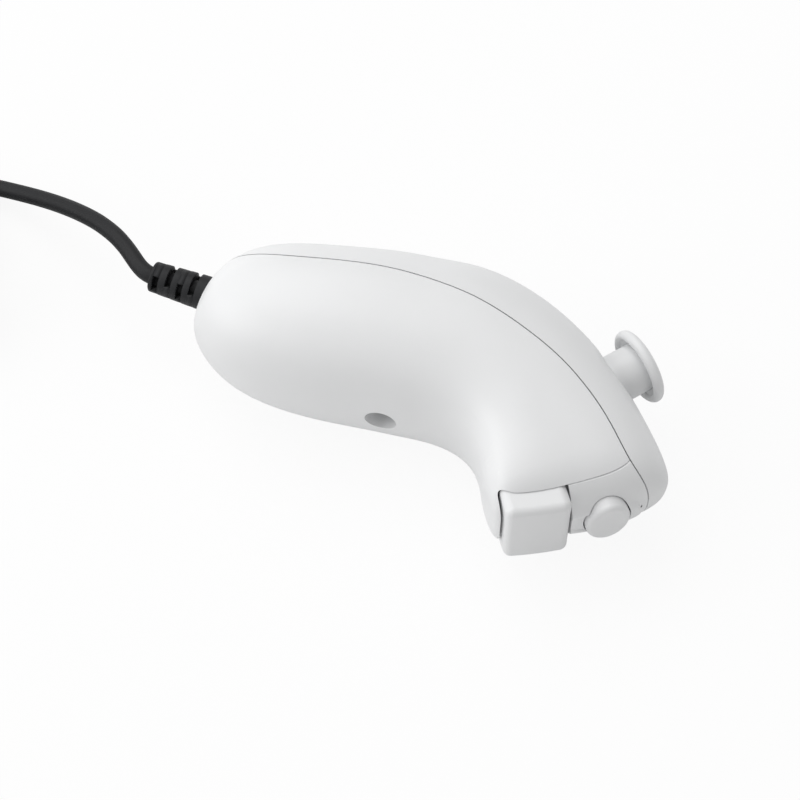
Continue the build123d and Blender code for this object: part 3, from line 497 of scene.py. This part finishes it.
@dataclass
class StrainRelief(Assembly):
    """The moulded boot at the cord's exit: solid rings joined by narrow bridges round a core."""

    length: float = 0.0134
    radius: float = 0.0041
    end_radius: float = 0.0035
    core_radius: float = 0.0022
    collar_radius: float = 0.0053
    collar: float = 0.0016
    gap: float = 0.0014
    gap_shares: tuple[float, ...] = (0.127, 0.354, 0.567, 0.784)
    small_windows: tuple[Window, ...] = (Window(146.0, 32.0), Window(326.0, 32.0))
    large_windows: tuple[Window, ...] = (Window(66.0, 74.0), Window(268.0, 54.0))
    sides: int = 72
    edge: float = 0.0001
    edge_steps: int = 4
    tip_edge: float = 0.0004
    bridge_overlap: float = 0.00015
    bridge_depth_share: float = 0.8
    degrees_per_step: float = 5.0

    def radius_at(self, from_tip: float) -> float:
        """Gives the boot's radius at a distance from its tip, in metres."""
        share = min(from_tip / self.length, 1.0)
        return self.end_radius + (self.radius - self.end_radius) * share

    def disc(
        self, start: float, end: float, radii: tuple[float, float], edge: float
    ) -> bmesh.types.BMesh:
        """Makes one solid ring with softened rims, along x.

        Args:
            start: Where it begins, as a distance from the tip.
            end: Where it ends.
            radii: Its radius at each of the two.
            edge: The width of its rims' rounding.

        Returns:
            The ring's bmesh, to be freed by the caller.
        """
        shape = bmesh.new()
        bmesh.ops.create_cone(
            shape,
            cap_ends=True,
            segments=self.sides,
            radius1=radii[0],
            radius2=radii[1],
            depth=end - start,
        )
        turn = Matrix.Rotation(math.pi / 2, 4, "Y")
        shift = Matrix.Translation(((start + end) / 2, 0.0, 0.0))
        bmesh.ops.transform(shape, matrix=shift @ turn, verts=shape.verts)
        if edge > 0.0:
            rims = [line for line in shape.edges if self.is_rim(line)]
            bmesh.ops.bevel(
                shape,
                geom=rims,
                offset=edge,
                segments=self.edge_steps,
                profile=0.5,
                affect="EDGES",
                material=-1,
            )
        return shape

    @staticmethod
    def is_rim(line: bmesh.types.BMEdge) -> bool:
        """Says whether an edge lies on the rim between a ring's side and its flat end."""
        return any(len(face.verts) > 4 for face in line.link_faces)

    def bridge(self, start: float, end: float, first: float, last: float) -> bmesh.types.BMesh:
        """Makes the part of a gap that is left solid between two windows.

        Args:
            start: Where the gap begins, as a distance from the tip.
            end: Where it ends.
            first: The angle that the bridge begins at, in degrees from y towards z.
            last: The angle that it ends at.

        Returns:
            The bridge's bmesh, to be freed by the caller.
        """
        shape = bmesh.new()
        outer = min(self.radius_at(start), self.radius_at(end))
        inner = self.core_radius * self.bridge_depth_share
        overlap = self.bridge_overlap
        corners = (
            (start - overlap, inner),
            (end + overlap, inner),
            (end + overlap, outer),
            (start - overlap, outer),
        )
        face = shape.faces.new([shape.verts.new((x, r, 0.0)) for x, r in corners])
        turn = Matrix.Rotation(math.radians(first), 3, "X")
        bmesh.ops.rotate(shape, cent=(0.0, 0.0, 0.0), matrix=turn, verts=shape.verts)
        bmesh.ops.spin(
            shape,
            geom=[face, *face.edges, *face.verts],
            cent=(0.0, 0.0, 0.0),
            axis=(1.0, 0.0, 0.0),
            angle=math.radians(last - first),
            steps=max(2, round((last - first) / self.degrees_per_step)),
            use_duplicate=False,
        )
        return shape

    def bridges(self, place: float, windows: tuple[Window, ...]) -> list[bmesh.types.BMesh]:
        """Makes the bridges between a gap's windows.

        Args:
            place: The gap's middle, as a distance from the tip.
            windows: The gap's two openings, in order round the boot.

        Returns:
            One bmesh for each bridge.
        """
        start, end = place - self.gap / 2, place + self.gap / 2
        made = []
        for index, window in enumerate(windows):
            following = windows[(index + 1) % len(windows)]
            first = window.middle + window.half
            last = following.middle - following.half
            made.append(self.bridge(start, end, first, last + 360.0 * (last < first)))
        return made

    def build(self) -> None:
        """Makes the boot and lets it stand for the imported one."""
        low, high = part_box("cord_boot")
        tip = Vector((low[0], (low[1] + high[1]) / 2, (low[2] + high[2]) / 2))
        whole = high[0] - low[0]
        neck = whole - self.collar
        places = [share * self.length for share in self.gap_shares]
        edges = [0.0, *(p + s * self.gap / 2 for p in places for s in (-1, 1)), neck]
        shapes = []
        for number, (start, end) in enumerate(zip(edges[0::2], edges[1::2])):
            radii = (self.radius_at(start), self.radius_at(end))
            shapes.append(self.disc(start, end, radii, self.edge if number else self.tip_edge))
        core = (self.core_radius, self.core_radius)
        shapes.append(self.disc(self.gap / 2, neck, core, 0.0))
        flange = (self.collar_radius, self.collar_radius)
        shapes.append(self.disc(neck, whole, flange, self.edge))
        for number, place in enumerate(places):
            windows = self.large_windows if number % 2 else self.small_windows
            shapes.extend(self.bridges(place, windows))
        mesh = bpy.data.meshes.new("cord_boot_rings")
        joined = bmesh.new()
        for shape in shapes:
            bmesh.ops.recalc_face_normals(shape, faces=shape.faces)
            shape.to_mesh(mesh)
            joined.from_mesh(mesh)
            shape.free()
        bmesh.ops.translate(joined, vec=tip, verts=joined.verts)
        for face in joined.faces:
            face.smooth = len(face.verts) <= 4
        mesh.clear_geometry()
        joined.to_mesh(mesh)
        joined.free()
        boot = bpy.data.objects.new("cord_boot_rings", mesh)
        bpy.context.scene.collection.objects.link(boot)
        mesh.materials.append(CORD_BLACK.material())
        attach(boot, "handle")
        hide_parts("cord_boot")
        log.info("made %s from %d shapes", boot.name, len(shapes))


@dataclass
class FreeCord(Assembly):
    """The thin cord from the boot to the plug: its route, its put away coil and its thickness."""

    diameter: float = 0.004
    lift: float = 0.00005
    lead: tuple[tuple[float, float, float], ...] = (
        (0.0, 0.0, 0.0),
        (-0.0016, 0.0002, 0.0),
        (-0.0038, 0.0013, 0.004),
        (-0.0061, 0.0031, 0.016),
        (-0.0088, 0.0053, 0.045),
        (-0.0132, 0.0082, 0.105),
        (-0.0205, 0.0116, 0.26),
        (-0.0318, 0.0150, 0.56),
        (-0.0464, 0.01688, 0.88),
        (-0.0600, 0.0163, 1.0),
        (-0.0705, 0.01445, 1.0),
    )
    coil_radius: float = 0.0293
    coil_pitch: float = 0.0046
    coil_quarters: int = 28
    climb_quarters: int = 2
    points_per_quarter: int = 4
    straight: float = 0.004
    order: int = 3
    steps_per_point: int = 6
    rounding: int = 5
    tail: tuple[tuple[float, float, float], ...] = (
        (0.0, 0.0, 0.0),
        (0.008, 0.0, 0.0),
        (0.0159, 0.0014, 0.1),
        (0.0231, 0.0048, 0.28),
        (0.0283, 0.0109, 0.49),
        (0.0297, 0.0188, 0.68),
        (0.0269, 0.0263, 0.84),
        (0.0208, 0.0314, 0.95),
        (0.0131, 0.0335, 1.0),
        (0.0051, 0.0335, 1.0),
    )
    plug_height: float = 0.0132
    length: float = 1.0925
    plug_pieces: tuple[str, ...] = (
        "plug_boot",
        "plug_upper",
        "plug_lower",
        "plug_insert",
        "plug_contacts",
        "latch_left",
        "latch_right",
    )

    def exit(self) -> Vector:
        """Finds where the cord leaves its boot.

        Returns:
            The middle of the boot's outer end.
        """
        low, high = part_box("cord_boot")
        middle = (Vector(low) + Vector(high)) / 2
        return Vector((low[0], middle.y, middle.z))

    def outside(self) -> float:
        """Gives how far outside a circle the spline's points lie, as a share of its radius."""
        return 1.0 / math.cos(math.pi / 4 / self.points_per_quarter)

    def turns(self, start: Vector, ahead: Vector, left: Vector) -> list[Vector]:
        """Winds the put away coil, in and out again in two layers.

        Args:
            start: Where the coil's first turn begins.
            ahead: The direction of the cord there.
            left: The direction to the coil's middle.

        Returns:
            The spline's points along the turns.
        """
        middle = start + left * self.coil_radius
        outside = self.outside()
        points = []
        for count in range(self.coil_quarters * self.points_per_quarter + 1):
            step = count / self.points_per_quarter
            inward = min(step, self.coil_quarters - step)
            radius = (self.coil_radius - self.coil_pitch * inward / 4) * outside
            climbed = (step - self.coil_quarters / 2) / self.climb_quarters + 0.5
            climb = min(max(climbed, 0.0), 1.0)
            height = self.coil_pitch * climb * climb * (3.0 - 2.0 * climb)
            turn = step * math.pi / 2
            outward = ahead * math.sin(turn) - left * math.cos(turn)
            points.append(middle + outward * radius + Vector((0.0, 0.0, height)))
        return points

    def route(self) -> list[Vector]:
        """Puts the cord's points together from the boot to the plug.

        Returns:
            The spline's points.
        """
        exit_point = self.exit()
        drop = exit_point.z - self.diameter / 2 - self.lift
        points = [exit_point + Vector((x, y, -share * drop)) for x, y, share in self.lead]
        ahead = (points[-1] - points[-2]).normalized()
        left = Vector((-ahead.y, ahead.x, 0.0))
        coil = self.turns(points[-1] + ahead * self.straight, ahead, left)
        points.extend(coil)
        rise = self.diameter / 2 + self.lift + self.plug_height / 2
        onto_circle = left * (self.coil_radius * (self.outside() - 1.0))
        base = coil[-1] + ahead * self.straight + onto_circle
        points.extend(
            base + ahead * x + left * y + Vector((0.0, 0.0, share * rise))
            for x, y, share in self.tail
        )
        return points

    def build(self) -> None:
        curve = bpy.data.curves.new("free_cord", "CURVE")
        curve.dimensions = "3D"
        curve.resolution_u = self.steps_per_point
        curve.bevel_depth = self.diameter / 2
        curve.bevel_resolution = self.rounding
        curve.use_fill_caps = True
        spline = curve.splines.new("NURBS")
        points = self.route()
        spline.points.add(len(points) - 1)
        for made, point in zip(spline.points, points):
            made.co = (*point, 1.0)
        spline.order_u = self.order
        spline.use_endpoint_u = True
        cord = bpy.data.objects.new("free_cord", curve)
        bpy.context.scene.collection.objects.link(cord)
        curve.materials.append(CORD_BLACK.material())
        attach(cord, "handle")
        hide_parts("cord_lead", "cord_coil", "cord_tail")
        log.info("laid the cord over %d points", len(points))


def main() -> None:
    """Builds the scene in order."""
    logging.basicConfig(level=logging.INFO, format="%(name)s: %(message)s")
    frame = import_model()
    nodes = frame["nodes"]
    Viewpoint().build()
    Studio().build()
    groups = (
        FreeCord,
        Shells,
        FrontControls,
        RubberPads,
        ThumbStick,
        Electronics,
        StrainRelief,
        Plug,
    )
    for group in groups:
        group(nodes).build()
        log.info("finished %s", group.__name__)


if __name__ == "__main__":
    main()
